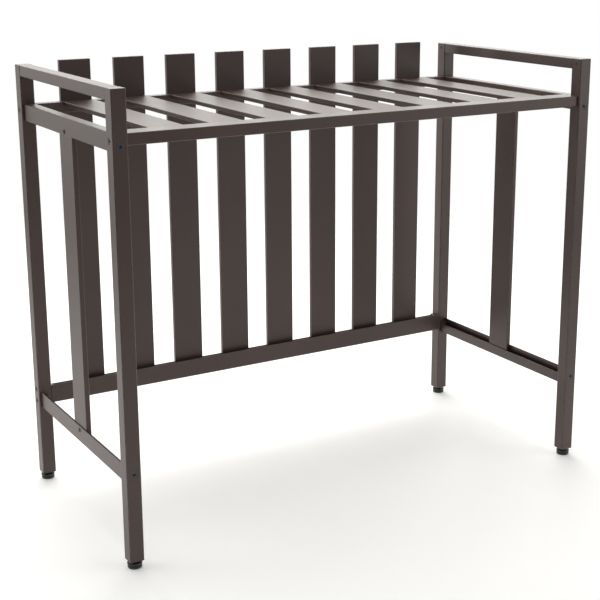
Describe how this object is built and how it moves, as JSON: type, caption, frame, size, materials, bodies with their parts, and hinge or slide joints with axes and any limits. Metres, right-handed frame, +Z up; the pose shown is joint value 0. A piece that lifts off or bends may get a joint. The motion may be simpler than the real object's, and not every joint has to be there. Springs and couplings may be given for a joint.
{
  "type": "luggage rack",
  "caption": "Bolted steel-tube luggage rack: a slatted shelf between end arms, upright slats at the back and ends, and a levelling foot under each post",
  "frame": {"origin": "On the floor, under the middle of the rack's outline", "axes": "+X right along the length, seen from the front; +Y back, towards the wall the upright slats guard; +Z up"},
  "size_m": [0.832, 0.394, 0.694],
  "materials": {
    "frame_coat": "dark bronze powder coat, satin, fine orange peel",
    "slat_coat": "the same powder coat on thinner sheet and flat tube",
    "bolt_steel": "blackened steel, slightly blue, satin",
    "stud_steel": "blackened steel thread and hexagon collar",
    "foot_plastic": "moulded black nylon"
  },
  "bodies": {
    "frame": {"post_left_front": "frame_coat", "post_left_back": "frame_coat", "post_right_front": "frame_coat", "post_right_back": "frame_coat", "arm_left": "frame_coat", "shelf_rail_left": "frame_coat", "lower_rail_left": "frame_coat", "end_slat_left": "slat_coat", "arm_right": "frame_coat", "shelf_rail_right": "frame_coat", "lower_rail_right": "frame_coat", "end_slat_right": "slat_coat", "shelf_rail_front": "frame_coat", "shelf_rail_back": "frame_coat", "lower_rail_back": "frame_coat", "shelf_slat_1": "slat_coat", "back_slat_1": "slat_coat", "shelf_slat_2": "slat_coat", "back_slat_2": "slat_coat", "shelf_slat_3": "slat_coat", "back_slat_3": "slat_coat", "shelf_slat_4": "slat_coat", "back_slat_4": "slat_coat", "shelf_slat_5": "slat_coat", "back_slat_5": "slat_coat", "shelf_slat_6": "slat_coat", "back_slat_6": "slat_coat", "shelf_slat_7": "slat_coat", "back_slat_7": "slat_coat", "shelf_slat_8": "slat_coat", "back_slat_8": "slat_coat", "bolt_shelf_side_left_front": "bolt_steel", "bolt_shelf_end_left_front": "bolt_steel", "bolt_lower_end_left_front": "bolt_steel", "bolt_shelf_side_left_back": "bolt_steel", "bolt_shelf_end_left_back": "bolt_steel", "bolt_lower_end_left_back": "bolt_steel", "bolt_shelf_side_right_front": "bolt_steel", "bolt_shelf_end_right_front": "bolt_steel", "bolt_lower_end_right_front": "bolt_steel", "bolt_shelf_side_right_back": "bolt_steel", "bolt_shelf_end_right_back": "bolt_steel", "bolt_lower_end_right_back": "bolt_steel", "bolt_back_low_left": "bolt_steel", "bolt_back_high_left": "bolt_steel", "bolt_back_low_right": "bolt_steel", "bolt_back_high_right": "bolt_steel", "foot_plug_left_front": "foot_plastic", "foot_plug_left_back": "foot_plastic", "foot_plug_right_front": "foot_plastic", "foot_plug_right_back": "foot_plastic"},
    "pad_left_front": {"foot_pad_left_front": "foot_plastic"},
    "stud_left_front": {"foot_stud_left_front": "stud_steel"},
    "pad_left_back": {"foot_pad_left_back": "foot_plastic"},
    "stud_left_back": {"foot_stud_left_back": "stud_steel"},
    "pad_right_front": {"foot_pad_right_front": "foot_plastic"},
    "stud_right_front": {"foot_stud_right_front": "stud_steel"},
    "pad_right_back": {"foot_pad_right_back": "foot_plastic"},
    "stud_right_back": {"foot_stud_right_back": "stud_steel"}
  },
  "joints": [
    {"name": "foot_travel_left_front", "type": "slide", "parent": "frame", "child": "pad_left_front", "axis": [0, 0, -1], "range_m": [0, 0.01]},
    {"name": "foot_turn_left_front", "type": "hinge", "parent": "pad_left_front", "child": "stud_left_front", "pos_m": [-0.405, -0.186, 0], "axis": [0, 0, -1], "range_deg": [0, 2880]},
    {"name": "foot_travel_left_back", "type": "slide", "parent": "frame", "child": "pad_left_back", "axis": [0, 0, -1], "range_m": [0, 0.01]},
    {"name": "foot_turn_left_back", "type": "hinge", "parent": "pad_left_back", "child": "stud_left_back", "pos_m": [-0.405, 0.186, 0], "axis": [0, 0, -1], "range_deg": [0, 2880]},
    {"name": "foot_travel_right_front", "type": "slide", "parent": "frame", "child": "pad_right_front", "axis": [0, 0, -1], "range_m": [0, 0.01]},
    {"name": "foot_turn_right_front", "type": "hinge", "parent": "pad_right_front", "child": "stud_right_front", "pos_m": [0.405, -0.186, 0], "axis": [0, 0, -1], "range_deg": [0, 2880]},
    {"name": "foot_travel_right_back", "type": "slide", "parent": "frame", "child": "pad_right_back", "axis": [0, 0, -1], "range_m": [0, 0.01]},
    {"name": "foot_turn_right_back", "type": "hinge", "parent": "pad_right_back", "child": "stud_right_back", "pos_m": [0.405, 0.186, 0], "axis": [0, 0, -1], "range_deg": [0, 2880]}
  ],
  "couplings": [
    {"joint": "foot_travel_left_front", "follows": "foot_turn_left_front", "m_per_rad": 0.00019894},
    {"joint": "foot_travel_left_back", "follows": "foot_turn_left_back", "m_per_rad": 0.00019894},
    {"joint": "foot_travel_right_front", "follows": "foot_turn_right_front", "m_per_rad": 0.00019894},
    {"joint": "foot_travel_right_back", "follows": "foot_turn_right_back", "m_per_rad": 0.00019894}
  ]
}
